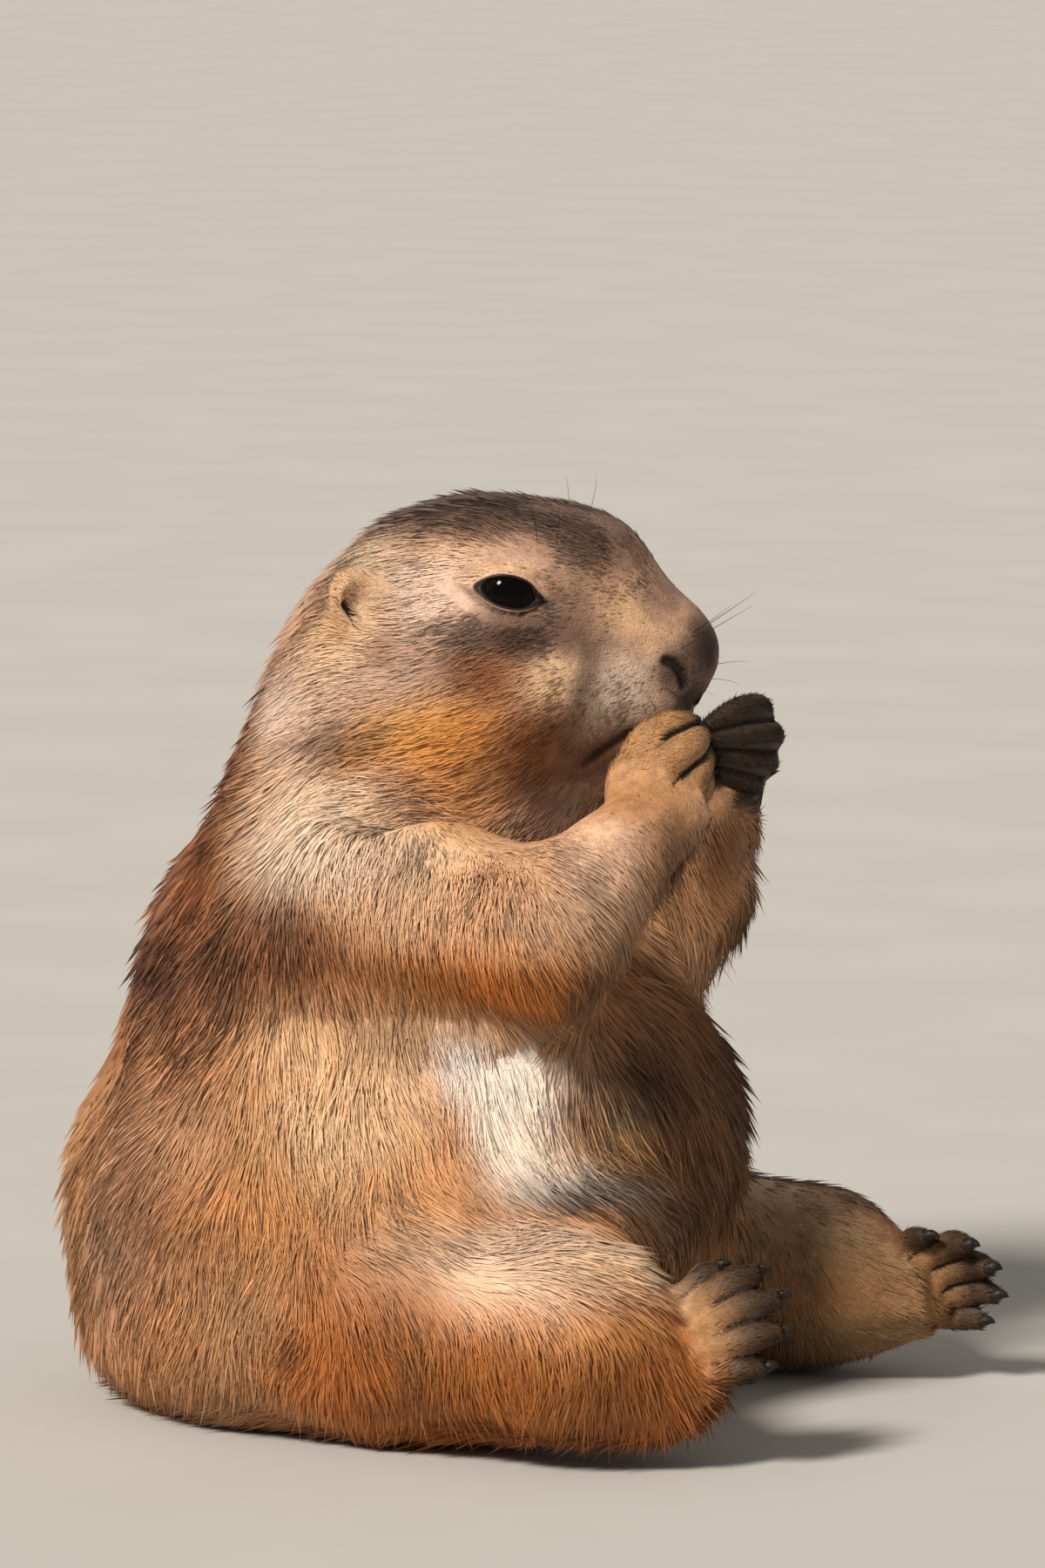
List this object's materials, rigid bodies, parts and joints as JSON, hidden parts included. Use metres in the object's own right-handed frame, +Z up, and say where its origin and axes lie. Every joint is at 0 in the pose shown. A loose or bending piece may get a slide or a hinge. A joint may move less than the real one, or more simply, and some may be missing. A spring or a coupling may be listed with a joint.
{
  "type": "prairie dog",
  "caption": "Life-size model of a plump prairie dog sitting on its rump, eating from its forepaws, hind feet stretched out in front.",
  "frame": {"origin": "on the floor, under the middle of the model's bounding box", "axes": "+X the way the body faces, +Y the animal's left side, +Z up"},
  "size_m": [0.1752, 0.1344, 0.1669],
  "materials": {
    "body_coat": "dense short fur, rusty tan grizzled with black tips",
    "neck_coat": "dense short fur, pale pinkish tan",
    "face_coat": "very short fur, greyish tan with rusty cheeks",
    "limb_coat": "short fur, golden rust to cream",
    "tail_coat": "longer fur, rusty brown with a black tip",
    "paw_skin": "short tan hair over bare skin, dark claws",
    "eye": "wet black"
  },
  "bodies": {
    "root": {"torso": "body_coat", "neck": "neck_coat", "head": "face_coat", "tail": "tail_coat", "eye_right": "eye", "eye_left": "eye", "ear_right": "face_coat", "ear_left": "face_coat", "upper_arm_right": "limb_coat", "forearm_right": "limb_coat", "forepaw_right": "paw_skin", "upper_arm_left": "limb_coat", "forearm_left": "limb_coat", "forepaw_left": "paw_skin", "thigh_right": "limb_coat", "shin_right": "limb_coat", "hind_foot_right": "paw_skin", "thigh_left": "limb_coat", "shin_left": "limb_coat", "hind_foot_left": "paw_skin"}
  },
  "joints": []
}
